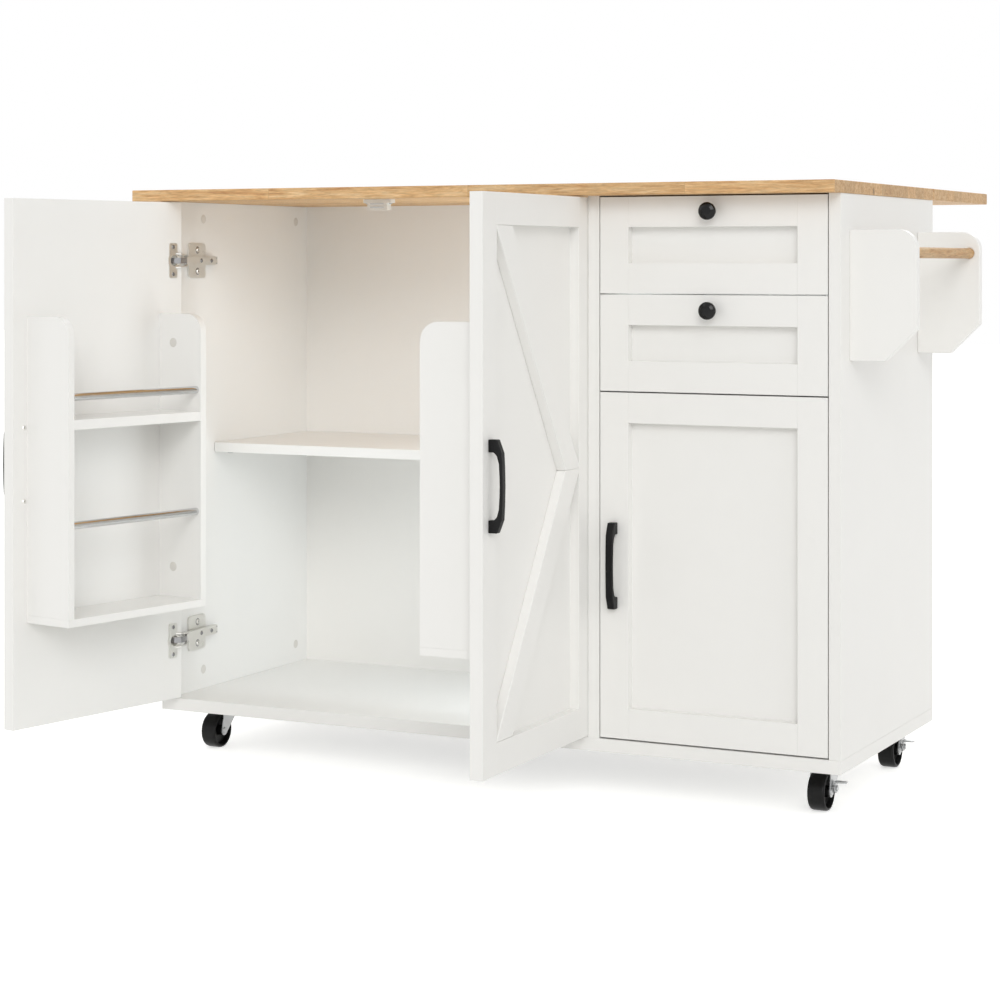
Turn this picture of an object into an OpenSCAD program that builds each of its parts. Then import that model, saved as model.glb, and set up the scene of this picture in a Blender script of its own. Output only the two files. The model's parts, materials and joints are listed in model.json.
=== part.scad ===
// Kitchen island on casters with a drop leaf, two door racks, two drawers and a towel rail.
// The origin is on the floor under the middle of the carcass; the doors face -Y and the leaf is at +Y.
// The double doors are drawn open and the leaf is drawn raised.

/* [Carcass] */
// Width of the carcass over both side panels
cab_w = 1146; // [1000:1:1300]
// Depth of the carcass, from the front edges to the rear edges of the side panels
cab_d = 475; // [430:1:560]
// Height of the worktop above the floor
top_h = 915; // [860:1:960]
// Thickness of the side panels and of the centre divider
side_t = 18; // [15:0.5:22]
// Thickness of the base board
base_t = 20; // [16:0.5:25]
// Thickness of the back boards
back_t = 15; // [9:0.5:18]
// Depth of the recess behind the back boards, where the folded brackets lie
back_recess = 20; // [19:0.5:30]
// Clear width of the compartment behind the double doors
left_w = 738; // [724:1:780]

/* [Worktop and leaf] */
// Thickness of the worktop and of the leaf
top_t = 18; // [15:0.5:25]
// Overhang of the worktop at the front
front_over = 35; // [10:1:60]
// Overhang of the worktop at the left end
left_over = 35; // [5:1:60]
// Overhang of the worktop at the right end
right_over = 2; // [0:1:20]
// Depth of the drop leaf, from the seam to its free edge
leaf_d = 332; // [300:1:380]
// Gap between the worktop and the leaf
leaf_gap = 1; // [0.5:0.1:3]

/* [Shelves] */
// Thickness of the shelf in the double compartment
shelf_t = 16; // [12:0.5:20]
// Height of the double compartment's shelf above the base board
shelf_h = 391; // [300:1:450]
// Distance of that shelf behind the front edges, which leaves room for the door racks
shelf_back = 131; // [118:1:180]
// Thickness of the board under the drawers and of the cupboard shelf
deck_t = 15; // [12:0.5:18]
// Height of the cupboard shelf above the base board
cup_shelf_h = 245; // [180:1:290]
// Distance of the cupboard shelf behind the front edges
cup_shelf_back = 60; // [40:1:120]
// Diameter of the shelf pins
pin_d = 5; // [4:0.5:7]
// Length of a shelf pin, half of it in the panel
pin_l = 16; // [12:1:20]
// Play at each end of a loose shelf
shelf_play = 0.5; // [0.3:0.1:2]

/* [Doors and drawer fronts] */
// Thickness of the slab of a door or drawer front
slab_t = 5.5; // [4:0.5:8]
// Thickness of the stiles, rails and battens on the slab
frame_t = 14.5; // [12:0.5:16]
// Width of the stiles, rails and battens
frame_w = 45; // [35:0.5:55]
// Width of the double doors' hinge stiles
hinge_stile_w = 35; // [35:0.5:45]
// Gap at the sides of the doors and fronts
gap = 1.5; // [1.4:0.1:2.5]
// Gap between the base board and the doors
low_gap = 2.5; // [2:0.1:4]
// Gap between the lower drawer and the door under it
mid_gap = 2; // [1.5:0.1:3]
// Height of each drawer front
drawer_h = 143; // [120:0.5:160]
// Gap between the two drawer fronts
drawer_gap = 1.7; // [1.2:0.1:3]
// Angle of the left door as drawn
left_open = 100.5; // [0:0.5:104]
// Angle of the right door as drawn
right_open = 90.5; // [0:0.5:92]
// Distance of the hinge axis from the panel beside the door
axis_x = 2.1; // [2:0.1:2.3]
// Distance of the hinge axis behind the front faces
axis_y = 1.4; // [1:0.1:1.4]

/* [Hinges and catch] */
// Diameter of a hinge cup
cup_d = 26; // [24:1:28]
// Depth of a hinge cup below the door's inner face
cup_depth = 11.5; // [9:0.5:13]
// Distance of the cup's centre from the door edge
cup_in = 18; // [17:0.5:20]
// Distance of the hinges from the top and bottom edges of the double doors
hinge_end = 94; // [70:1:120]
// Distance of the hinges from the top and bottom edges of the cupboard door
low_hinge_end = 75; // [60:1:100]
// Width of the magnetic catch's housing
catch_w = 35; // [28:1:45]

/* [Door racks] */
// Width of a rack over its side plates
rack_w = 300; // [260:1:310]
// Distance from the hinge-side panel to the rack
rack_in = 40.5; // [30:0.5:50]
// Depth of a rack, from the door's inner face
rack_d = 90; // [70:1:94]
// Height of a rack's side plates
rack_h = 464; // [420:1:520]
// Height of the rack's underside above the base board
rack_z = 162; // [130:1:180]
// Thickness of the rack's side plates and bottom board
rack_t = 12; // [9:0.5:15]
// Thickness of the rack's middle shelf
rack_shelf_t = 15; // [12:0.5:18]
// Height of the middle shelf above the rack's underside
rack_shelf_h = 295; // [260:1:320]
// Radius of the rack plates' outer top corners
rack_r = 28; // [10:1:35]
// Diameter of the rack rails
rail_d = 12; // [8:0.5:14]

/* [Handles and knobs] */
// Length of a handle over its feet
handle_l = 128; // [110:1:150]
// Distance that a handle stands out from the door
handle_out = 24.5; // [22:0.5:32]
// Width of a handle
handle_w = 11.5; // [8:0.5:14]
// Diameter of a knob
knob_d = 26; // [22:0.5:32]

/* [Drawer boxes] */
// Space between the drawer boxes and the back board
box_back = 40; // [20:1:60]
// Height of the drawer boxes
box_h = 100; // [80:1:110]
// Thickness of the drawer box sides
box_t = 12; // [9:0.5:15]
// Thickness of the drawer bottoms
bottom_t = 4; // [3:0.5:6]
// Space for a runner at each side of a drawer box
runner_w = 13; // [12.5:0.1:14]
// Length by which the runners are shorter than the drawer boxes
runner_short = 30; // [15:1:60]

/* [Towel rail] */
// Distance that the towel rail plates stand out from the side panel
plate_w = 98; // [80:1:120]
// Height of the towel rail plates
plate_h = 188; // [160:1:210]
// Thickness of the towel rail plates
plate_t = 15; // [12:0.5:18]
// Radius of the plates' upper outer corner
plate_r = 28; // [10:1:35]
// Size of the sloping cut at the plates' lower outer corner
plate_cut = 46; // [20:1:60]
// Height of the upper edge of the plates below the worktop's underside
plate_drop = 52; // [30:1:80]
// Distance of the front plate behind the carcass front
plate_y = 41; // [20:1:60]
// Clear length of the towel rail between its plates
towel_l = 332; // [250:1:345]
// Diameter of the towel rail
towel_d = 16; // [12:0.5:20]

/* [Casters] */
// Height of a caster from the floor to the base board
caster_h = 70; // [68:1:85]
// Diameter of a wheel
wheel_d = 56; // [50:1:56]
// Width of a wheel
wheel_w = 26; // [20:0.5:28]
// Distance of the casters from the ends of the base board
caster_x = 55; // [40:1:90]
// Distance of the front swivels behind the front edge
caster_y1 = 99; // [70:1:120]
// Distance of the rear swivels in front of the rear edge
caster_y2 = 28; // [24:1:90]
// Distance from the swivel to the wheel's axle
trail = 20; // [15:0.5:24]
// Diameter of the wheel axle
axle_d = 8; // [6:0.5:10]

/* [Leaf brackets] */
// Distance of the brackets from the middle of the carcass
bracket_x = 350; // [260:1:400]
// Height of the leaf's pivot below the underside of the worktop
pivot_drop = 10; // [9:0.5:12]
// Distance of the leaf's pivot in front of the carcass rear
pivot_in = 8; // [7:0.5:8]
// Distance from the leaf's pivot down to the strut's pivot
strut_a = 110; // [90:1:125]
// Length of the strut between its pivots
strut_l = 180; // [165:1:200]
// Thickness of the bracket's steel
steel_t = 2.5; // [2:0.5:3]
// Width of the strut
strut_w = 14; // [10:0.5:15]

/* [Hidden] */
$fn = 48;
white = "#f1f1ee";
oak = "#d3a36c";
black = "#26262a";
steel = "#c3c3c3";

hx = cab_w / 2;
hy = cab_d / 2;
// Top of the base board and underside of the worktop
floor_z = caster_h + base_t;
under_z = top_h - top_t;
// Inner face of the left panel, both faces of the divider and inner face of the right panel
in_l = -hx + side_t;
div_l = in_l + left_w;
div_r = div_l + side_t;
in_r = hx - side_t;
right_w = in_r - div_r;
// Front and rear faces of the back boards
back_y0 = hy - back_recess - back_t;
back_y1 = hy - back_recess;
board_h = under_z - floor_z;
front_t = slab_t + frame_t;
// Fronts: doors reach from door_z to fronts_z
top_gap = 2;
door_z = floor_z + low_gap;
fronts_z = under_z - top_gap;
door_h = fronts_z - door_z;
door_w = (left_w - 3 * gap) / 2;
front_w = right_w - 2 * gap;
upper_z = fronts_z - drawer_h;
lower_z = upper_z - drawer_gap - drawer_h;
low_door_h = lower_z - mid_gap - door_z;
deck_z = lower_z - mid_gap - deck_t + 0.5;
shelf_z = floor_z + shelf_h;
cup_shelf_z = floor_z + cup_shelf_h;
rack_z0 = floor_z + rack_z;
rack_y = front_t + rack_d;
rail_y = rack_y - 10;
pin_in = 45;
// Drawer boxes and their runners
box_l = cab_d - front_t - back_recess - back_t - box_back;
runner_l = box_l - runner_short;
// Leaf pivot
piv_y = hy - pivot_in;
piv_z = under_z - pivot_drop;
strut_r = sqrt(strut_l * strut_l - strut_a * strut_a);
strut_ang = atan2(strut_a, strut_r);
// Radial clearance of a pin or axle that turns in its hole, side play of flat links and gap at rest
run_fit = 0.05;
play = 0.4;
rest_gap = 0.3;
// Space between a door's inner face and the hinge arms
arm_gap = 4;
screw_d = 5;

function arc(c, r, a0, a1, n = 10) =
  [for (i = [0:n]) c + r * [cos(a0 + (a1 - a0) * i / n), sin(a0 + (a1 - a0) * i / n)]];

// Outline of a rectangle with round corners, from one corner
function rounded(w, h, r) =
  concat(arc([w - r, h - r], r, 0, 90, 4), arc([r, h - r], r, 90, 180, 4),
    arc([r, r], r, 180, 270, 4), arc([w - r, r], r, 270, 360, 4));

// ---- shared forms ----

// Square-cornered board from one corner
module board(at, size) {
  translate(at) cube(size);
}

// Places what is drawn from a panel's inner face and the carcass front, with x into the opening
module at_left() {
  translate([in_l, -hy, 0]) children();
}

module at_divider() {
  translate([div_l, -hy, 0]) mirror([1, 0, 0]) children();
}

module at_right() {
  translate([in_r, -hy, 0]) mirror([1, 0, 0]) children();
}

// Turns a door about its hinge axis
module swing(angle) {
  translate([axis_x, axis_y, 0])
    rotate([0, 0, -angle])
      translate([-axis_x, -axis_y, 0])
        children();
}

module left_swing() {
  at_left() swing(left_open) children();
}

module right_swing() {
  at_divider() swing(right_open) children();
}

// Extrudes an outline drawn in x and z by t along y, from y = 0
module upright(t) {
  rotate([90, 0, 0]) translate([0, 0, -t]) linear_extrude(t) children();
}

// Extrudes an outline drawn in y and z by t along x, from x = 0
module sideways(t) {
  rotate([90, 0, 90]) linear_extrude(t) children();
}

// ---- carcass ----

module base_board() {
  color(white) board([-hx, -hy, caster_h], [cab_w, cab_d, base_t]);
}

// Side panel from x0 on, with holes for the shelf pins in its inner face at x_pin
module panel_with_pins(x0, x_pin, dir, z, y0, y1) {
  difference() {
    board([x0, -hy, floor_z], [side_t, cab_d, board_h]);
    pin_holes(x_pin, dir, z, y0, y1);
  }
}

module pin_holes(x_pin, dir, z, y0, y1) {
  for (y = [y0, y1])
    translate([x_pin, y, z - pin_d / 2])
      rotate([0, dir * 90, 0])
        cylinder(d = pin_d, h = pin_l / 2);
}

main_pin_y0 = -hy + shelf_back + pin_in;
cup_pin_y0 = -hy + cup_shelf_back + pin_in;
pin_y1 = back_y0 - pin_in;

module left_side_panel() {
  color(white) panel_with_pins(-hx, in_l, -1, shelf_z, main_pin_y0, pin_y1);
}

module right_side_panel() {
  color(white) panel_with_pins(in_r, in_r, 1, cup_shelf_z, cup_pin_y0, pin_y1);
}

module centre_divider() {
  color(white)
    difference() {
      board([div_l, -hy, floor_z], [side_t, back_y1 + hy, board_h]);
      pin_holes(div_l, 1, shelf_z, main_pin_y0, pin_y1);
      pin_holes(div_r, -1, cup_shelf_z, cup_pin_y0, pin_y1);
    }
}

module left_back_board() {
  color(white) board([in_l, back_y0, floor_z], [left_w, back_t, board_h]);
}

module right_back_board() {
  color(white) board([div_r, back_y0, floor_z], [right_w, back_t, board_h]);
}

module main_shelf() {
  y0 = -hy + shelf_back;
  color(white)
    board([in_l + shelf_play, y0, shelf_z],
      [left_w - 2 * shelf_play, back_y0 - y0 - shelf_play, shelf_t]);
}

module cupboard_shelf() {
  y0 = -hy + cup_shelf_back;
  color(white)
    board([div_r + shelf_play, y0, cup_shelf_z],
      [right_w - 2 * shelf_play, back_y0 - y0 - shelf_play, deck_t]);
}

module drawer_deck() {
  y0 = -hy + front_t + 2;
  color(white) board([div_r, y0, deck_z], [right_w, back_y0 - y0, deck_t]);
}

module shelf_pin(x, dir, y, z) {
  translate([x - dir * pin_l / 2, y, z - pin_d / 2])
    rotate([0, dir * 90, 0])
      cylinder(d = pin_d, h = pin_l);
}

module shelf_pins() {
  color(steel) {
    for (y = [main_pin_y0, pin_y1]) {
      shelf_pin(in_l, 1, y, shelf_z);
      shelf_pin(div_l, -1, y, shelf_z);
    }
    for (y = [cup_pin_y0, pin_y1]) {
      shelf_pin(div_r, 1, y, cup_shelf_z);
      shelf_pin(in_r, -1, y, cup_shelf_z);
    }
  }
}

top_x0 = -hx - left_over;
top_l = cab_w + left_over + right_over;

module worktop() {
  y0 = -hy - front_over;
  color(oak) board([top_x0, y0, under_z], [top_l, hy - leaf_gap - y0, top_t]);
}

module drop_leaf() {
  color(oak) board([top_x0, hy, under_z], [top_l, leaf_d, top_t]);
}

// ---- leaf brackets: a leg on the back board, an arm under the leaf and a strut ----

leg_h = strut_a + 50;
arm_l = strut_a + strut_l + 14;
pin_r = 4;
strut_pin = 6;
end_r = pivot_drop - 2;
flange = 22;
// Where an arm's flange begins behind its pivot
heel = pivot_in + 3;
// Planes of the leg's web, the strut and the arm's web along x
strut_x = steel_t + play;
arm_x = 2 * (steel_t + play);

// Outline in y and z of a flat bar from one pivot to another point, with round ends
module bar(p, q, w) {
  l = norm(q - p);
  a = atan2(q[1] - p[1], q[0] - p[0]);
  translate(p)
    rotate(a)
      polygon(concat(arc([0, 0], w / 2, 90, 270), arc([l, 0], w / 2, -90, 90)));
}

module bracket_leg() {
  y_off = piv_y - back_y1;
  difference() {
    union() {
      sideways(steel_t)
        polygon(concat(
          [[0, -leg_h], [y_off, -leg_h + 12]],
          arc([y_off, 0], end_r, -30, 90),
          [[0, end_r]]));
      translate([-flange + steel_t, 0, -leg_h]) cube([flange, steel_t, leg_h + end_r]);
    }
    for (z = [-leg_h + 20, -leg_h / 2, -12])
      translate([-flange / 2 + steel_t / 2, -1, z])
        rotate([-90, 0, 0]) cylinder(d = screw_d, h = steel_t + 2);
  }
  // pivot of the arm, with its head
  translate([0, y_off, 0])
    rotate([0, 90, 0]) {
      cylinder(r = pin_r, h = arm_x + steel_t + rest_gap);
      translate([0, 0, arm_x + steel_t + rest_gap]) cylinder(r = pin_r + 2, h = 1.5);
    }
  // pivot of the strut
  translate([0, y_off, -strut_a])
    rotate([0, 90, 0]) cylinder(d = strut_pin, h = strut_x + steel_t);
}

module bracket_arm() {
  difference() {
    union() {
      sideways(steel_t)
        polygon(concat(
          arc([0, 0], end_r, 90, 250),
          [[arm_l - 20, -end_r], [arm_l, 0], [arm_l, pivot_drop], [heel, pivot_drop],
           [heel, end_r]]));
      translate([0, heel, pivot_drop - steel_t])
        cube([flange, arm_l - heel, steel_t]);
    }
    translate([-1, 0, 0]) rotate([0, 90, 0]) cylinder(r = pin_r + run_fit, h = steel_t + 2);
    // slot that guides the strut
    translate([-1, 0, 0])
      sideways(steel_t + 2)
        bar([strut_r - 4, 0], [strut_a + strut_l, 0], strut_pin + 2 * rest_gap);
    for (y = [40, arm_l / 2, arm_l - 14])
      translate([(flange + steel_t) / 2, y, 0]) cylinder(d = screw_d, h = pivot_drop + 1);
  }
}

// The rivet at its free end stops short of the arm's slot
module bracket_strut() {
  difference() {
    sideways(steel_t) bar([0, 0], [strut_l, 0], strut_w);
    translate([-1, 0, 0])
      rotate([0, 90, 0]) cylinder(d = strut_pin + 2 * run_fit, h = steel_t + 2);
  }
  translate([0, strut_l, 0])
    rotate([0, 90, 0]) cylinder(d = strut_pin, h = steel_t + play / 2);
}

module bracket_legs() {
  color(steel)
    for (s = [-1, 1])
      translate([s * bracket_x, back_y1, piv_z]) bracket_leg();
}

module bracket_arms() {
  color(steel)
    for (s = [-1, 1])
      translate([s * bracket_x + arm_x, piv_y, piv_z]) bracket_arm();
}

module bracket_struts() {
  color(steel)
    for (s = [-1, 1])
      translate([s * bracket_x + strut_x, piv_y, piv_z - strut_a])
        rotate([strut_ang, 0, 0]) bracket_strut();
}

// ---- catch under the worktop, where the double doors meet ----

module magnetic_catch() {
  y0 = -hy + front_t + 1;
  xm = (in_l + div_l) / 2;
  ear = 7;
  color("white")
    difference() {
      union() {
        board([xm - catch_w / 2, y0, under_z - 17], [catch_w, 14, 17]);
        board([xm - catch_w / 2 - ear, y0, under_z - 6], [catch_w + 2 * ear, 14, 6]);
      }
      for (s = [-1, 1])
        translate([xm + s * (catch_w / 2 + ear / 2), y0 + 7, under_z - 7])
          cylinder(d = 3.5, h = 8);
    }
}

// ---- concealed hinges ----

// Mounting plate and arm on a panel, in the frame of the opening
module hinge_arm(z) {
  y0 = front_t + arm_gap;
  color(steel)
    translate([0, 0, z]) {
      // plate, fixed by two screws
      difference() {
        translate([0, 48, 28.5])
          rotate([0, 90, 0])
            linear_extrude(3)
              polygon(rounded(57, 51, 6));
        for (s = [-1, 1])
          translate([-1, 74.5, s * 17.5]) rotate([0, 90, 0]) cylinder(d = screw_d, h = 6);
      }
      // rib that carries the arm
      translate([2, 52, -6]) cube([7, 44, 12]);
      // channel-shaped arm, cranked towards the door and open towards the panel
      difference() {
        translate([0, 0, -7])
          linear_extrude(14)
            polygon([[5, 125], [11, 123], [13, 117], [13, 60], [15, 44], [15, y0], [8, y0],
              [7.5, 46], [5, 56]]);
        translate([0, 0, -5.5])
          linear_extrude(11)
            polygon([[4, 122], [10, 120], [11.5, 115], [11.5, 60], [13.5, 43], [13.5, y0 - 1],
              [7, y0 - 1], [4, 46]]);
      }
    }
}

hinge_zs = [door_z + hinge_end, fronts_z - hinge_end];
low_hinge_zs = [door_z + low_hinge_end, door_z + low_door_h - low_hinge_end];

module hinge_arms() {
  for (z = hinge_zs) {
    at_left() hinge_arm(z);
    at_divider() hinge_arm(z);
  }
  for (z = low_hinge_zs)
    at_right() hinge_arm(z);
}

cup_r = cup_d / 2;
cup_rim = 0.8;
cup_flange_t = 1.5;
cup_screw = 22;

// Cup let into the door, with its flange and rim on the door's inner face
module hinge_cup(z) {
  color(steel)
    translate([gap + cup_in, front_t, z]) {
      difference() {
        union() {
          rotate([90, 0, 0]) cylinder(r = cup_r, h = cup_depth);
          rotate([-90, 0, 0]) cylinder(r = cup_r + cup_rim, h = cup_flange_t);
          translate([-6.8, 0, -27.8]) upright(cup_flange_t) polygon(rounded(18.6, 55.6, 3));
        }
        // bowl
        translate([0, 1 - cup_depth, 0])
          rotate([-90, 0, 0]) cylinder(r = cup_r - 4.5, h = cup_depth + cup_flange_t);
        for (s = [-1, 1])
          translate([2.5, -1, s * cup_screw]) rotate([-90, 0, 0]) cylinder(d = screw_d, h = 4);
      }
      // hood that meets the arm when the door is shut
      translate([-cup_r, 0.5, -6.5]) cube([4, arm_gap - rest_gap - 0.5, 13]);
    }
}

// ---- doors ----

// Holes for the hinge cups, from the inner face of a door
module cup_holes(zs) {
  for (z = zs)
    translate([gap + cup_in, front_t - cup_depth, z])
      rotate([-90, 0, 0]) cylinder(r = cup_r, h = cup_depth + 1);
}

module door_slab(w, h, zs) {
  color(white)
    difference() {
      board([gap, frame_t, door_z], [w, slab_t, h]);
      cup_holes(zs);
    }
}

// Stiles and rails on a slab that reaches from x0 and z0, with a first stile first_w wide
module facing(x0, z0, w, h, first_w = frame_w) {
  rail_l = w - first_w - frame_w;
  color(white) {
    board([x0, 0, z0], [first_w, frame_t, h]);
    board([x0 + w - frame_w, 0, z0], [frame_w, frame_t, h]);
    board([x0 + first_w, 0, z0], [rail_l, frame_t, frame_w]);
    board([x0 + first_w, 0, z0 + h - frame_w], [rail_l, frame_t, frame_w]);
  }
}

// Two battens from the corners beside the free edge to the middle of the hinge stile
module chevron() {
  x0 = gap + hinge_stile_w;
  x1 = gap + door_w - frame_w;
  zm = (door_z + fronts_z) / 2;
  rise = door_h / 2 - frame_w;
  // inner corner where the battens meet, and the shoulder that each has on the free stile
  corner = x0 + frame_w + 5;
  shoulder = 2.5;
  slope = (rise - shoulder) / (x1 - corner);
  // width along x of a batten that is frame_w wide across its slope
  cut_w = frame_w / sin(atan(slope));
  color(white)
    for (s = [-1, 1])
      upright(frame_t)
        polygon([[x1, zm + s * rise], [x1 + shoulder / slope - cut_w, zm + s * rise],
          [x0, zm + s * slope * (x0 - corner + cut_w)], [x0, zm], [corner, zm],
          [x1, zm + s * (rise - shoulder)]]);
}

// Stiles, rails and battens of a double door
module double_door_facing() {
  difference() {
    union() {
      facing(gap, door_z, door_w, door_h, hinge_stile_w);
      chevron();
    }
    cup_holes(hinge_zs);
  }
}

// Arched handle with rectangular feet, standing on the face at x and centred on z
module handle(x, z) {
  h = handle_l / 2;
  o = handle_out;
  foot = 17;
  bar_t = 6.3;
  color(black)
    translate([x - handle_w / 2, 0, z])
      sideways(handle_w)
        polygon(concat(
          [[0, -h], [-o * 0.64, -h]],
          [for (k = [-8:8]) [-o + o * 0.1 * pow(k / 8, 2), (h - 20) * k / 8]],
          [[-o * 0.64, h], [0, h], [0, h - foot], [-o * 0.4, h - foot - 1]],
          [for (k = [8:-1:-8])
            [-o + bar_t + o * 0.14 * pow(k / 8, 2), (h - foot - 9) * k / 8]],
          [[-o * 0.4, -h + foot + 1], [0, -h + foot]]));
}

// Side plate of a rack from x on, with blind holes for the rails in its face towards dir.
// It stands on the bottom board.
module rack_side(x, dir) {
  r = rack_r;
  translate([x, front_t, rack_z0])
    difference() {
      sideways(rack_t)
        polygon(concat(
          [[0, rack_t], [rack_d, rack_t]],
          arc([rack_d - r, rack_h - r], r, 0, 90),
          [[0, rack_h]]));
      for (z = rail_zs)
        translate([-1, rail_y - front_t, z - rack_z0])
          rotate([0, 90, 0])
            translate([0, 0, dir > 0 ? rack_t / 2 + 1 : 0])
              cylinder(d = rail_d, h = rack_t / 2 + 1);
    }
}

rack_x1 = rack_in + rack_w - rack_t;
rail_zs = [rack_z0 + 151, rack_z0 + rack_shelf_h + rack_shelf_t + 34];

module rack_sides() {
  color(white) {
    rack_side(rack_in, 1);
    rack_side(rack_x1, -1);
  }
}

module rack_shelves() {
  x0 = rack_in + rack_t;
  color(white) {
    board([rack_in, front_t, rack_z0], [rack_w, rack_d, rack_t]);
    board([x0, front_t, rack_z0 + rack_shelf_h], [rack_x1 - x0, rack_d, rack_shelf_t]);
  }
}

module rack_rails() {
  color(steel)
    for (z = rail_zs)
      translate([rack_in + rack_t / 2, rail_y, z])
        rotate([0, 90, 0]) cylinder(d = rail_d, h = rack_x1 - rack_in);
}

handle_in = frame_w / 2;
double_handle_z = (door_z + fronts_z) / 2 - 1.5;
low_handle_z = door_z + low_door_h / 2;

module left_door() {
  left_swing() door_slab(door_w, door_h, hinge_zs);
}

module left_door_frame() {
  left_swing() double_door_facing();
}

module left_handle() {
  left_swing() handle(gap + door_w - handle_in, double_handle_z);
}

module left_hinge_cups() {
  left_swing()
    for (z = hinge_zs)
      hinge_cup(z);
}

module left_rack_sides() {
  left_swing() rack_sides();
}

module left_rack_shelves() {
  left_swing() rack_shelves();
}

module left_rack_rails() {
  left_swing() rack_rails();
}

module right_door() {
  right_swing() door_slab(door_w, door_h, hinge_zs);
}

module right_door_frame() {
  right_swing() double_door_facing();
}

module right_handle() {
  right_swing() handle(gap + door_w - handle_in, double_handle_z);
}

module right_hinge_cups() {
  right_swing()
    for (z = hinge_zs)
      hinge_cup(z);
}

module right_rack_sides() {
  right_swing() rack_sides();
}

module right_rack_shelves() {
  right_swing() rack_shelves();
}

module right_rack_rails() {
  right_swing() rack_rails();
}

module lower_door() {
  at_right() door_slab(front_w, low_door_h, low_hinge_zs);
}

module lower_door_frame() {
  at_right()
    difference() {
      facing(gap, door_z, front_w, low_door_h);
      cup_holes(low_hinge_zs);
    }
}

module lower_handle() {
  at_right() handle(gap + front_w - handle_in, low_handle_z);
}

module lower_hinge_cups() {
  at_right()
    for (z = low_hinge_zs)
      hinge_cup(z);
}

// ---- drawers ----

box_x0 = div_r + runner_w;
box_w = right_w - 2 * runner_w;
box_up = 13;
// Height of the runners' middle above the underside of a drawer box
runner_up = 38;

module drawer_front(z) {
  x0 = div_r + gap;
  translate([0, -hy, 0]) {
    facing(x0, z, front_w, drawer_h);
    color(white) board([x0, frame_t, z], [front_w, slab_t, drawer_h]);
  }
}

module drawer_box(z) {
  z0 = z + box_up;
  y0 = -hy + front_t;
  lip = 6;
  color(white) {
    // sides and back, grooved for the bottom
    difference() {
      union() {
        board([box_x0, y0, z0], [box_t, box_l, box_h]);
        board([box_x0 + box_w - box_t, y0, z0], [box_t, box_l, box_h]);
        board([box_x0 + box_t, y0 + box_l - box_t, z0], [box_w - 2 * box_t, box_t, box_h]);
      }
      board([box_x0 + box_t - lip, y0 - 1, z0 + 8],
        [box_w - 2 * (box_t - lip), box_l - box_t + lip + 1, bottom_t]);
    }
    board([box_x0 + box_t - lip, y0, z0 + 8],
      [box_w - 2 * (box_t - lip), box_l - box_t + lip, bottom_t]);
  }
}

// Turned knob on the middle of a drawer's upper rail
module knob(z) {
  r = knob_d / 2;
  color(black)
    translate([(div_r + in_r) / 2, -hy, z + drawer_h - frame_w / 2])
      rotate([90, 0, 0])
        rotate_extrude()
          polygon(concat(
            [[0, 0], [7, 0], [5.5, 3], [5, 8], [6.5, 12]],
            [[r - 1, 15], [r, 17]],
            arc([r - 3, 19.5], 3, 0, 80, 6),
            [[r - 5, 23.2], [0, 24]]));
}

// Inner members of a drawer's runners, open towards the panels
module slides(z) {
  zc = z + box_up + runner_up;
  y0 = -hy + front_t + 2;
  color(steel)
    for (s = [0, 1])
      translate([s == 0 ? box_x0 : box_x0 + box_w, y0, zc])
        mirror([s == 0 ? 0 : 1, 0, 0])
          upright(runner_l)
            polygon([[0, -15], [0, 15], [-8.5, 15], [-8.5, 13.5], [-1.5, 13.5], [-1.5, -13.5],
              [-8.5, -13.5], [-8.5, -15]]);
}

// Outer members of all runners, fixed to the divider and the right panel
module runner_channels() {
  color(steel)
    for (z = [upper_z, lower_z], s = [0, 1])
      translate([s == 0 ? div_r : in_r, -hy + front_t + 4, z + box_up + runner_up])
        mirror([s == 0 ? 0 : 1, 0, 0])
          upright(runner_l)
            polygon([[0, -17], [0, 17], [10.5, 17], [10.5, 15.3], [1.5, 15.3], [1.5, -15.3],
              [10.5, -15.3], [10.5, -17]]);
}

module upper_drawer_front() {
  drawer_front(upper_z);
}

module upper_drawer_box() {
  drawer_box(upper_z);
}

module upper_knob() {
  knob(upper_z);
}

module upper_slides() {
  slides(upper_z);
}

module lower_drawer_front() {
  drawer_front(lower_z);
}

module lower_drawer_box() {
  drawer_box(lower_z);
}

module lower_knob() {
  knob(lower_z);
}

module lower_slides() {
  slides(lower_z);
}

// ---- towel rail ----

plate_z1 = under_z - plate_drop;
plate_z0 = plate_z1 - plate_h;
towel_x = plate_w - 17;
towel_z = plate_h - 33;

// Plate with a round upper corner and a sloping lower corner
module towel_plate(y, hole_y) {
  color(white)
    translate([hx, y, plate_z0])
      difference() {
        upright(plate_t)
          polygon(concat(
            [[0, 0], [plate_w - plate_cut, 0], [plate_w, plate_cut]],
            arc([plate_w - plate_r, plate_h - plate_r], plate_r, 0, 90, 16),
            [[0, plate_h]]));
        translate([towel_x, hole_y, towel_z])
          rotate([-90, 0, 0]) cylinder(d = towel_d, h = plate_t / 2 + 1);
      }
}

module towel_front_plate() {
  towel_plate(-hy + plate_y, plate_t / 2);
}

module towel_rear_plate() {
  towel_plate(-hy + plate_y + plate_t + towel_l, -1);
}

module towel_rail() {
  color(oak)
    translate([hx + towel_x, -hy + plate_y + plate_t / 2, plate_z0 + towel_z])
      rotate([-90, 0, 0]) cylinder(d = towel_d, h = towel_l + plate_t);
}

// ---- casters ----

swivels = [[-hx + caster_x, -hy + caster_y1], [hx - caster_x, -hy + caster_y1],
  [-hx + caster_x, hy - caster_y2], [hx - caster_x, hy - caster_y2]];
mount_t = 2.5;
race_h = 5;
race_d = 34;
king_d = 10;
crown_t = 2.5;
fork_in = wheel_w / 2 + 1;
fork_t = 2;
// Reach of a fork's legs in front of the kingpin and behind it
leg_front = 20;
leg_rear = 18;
crown_z = caster_h - mount_t - race_h - rest_gap;

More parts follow.
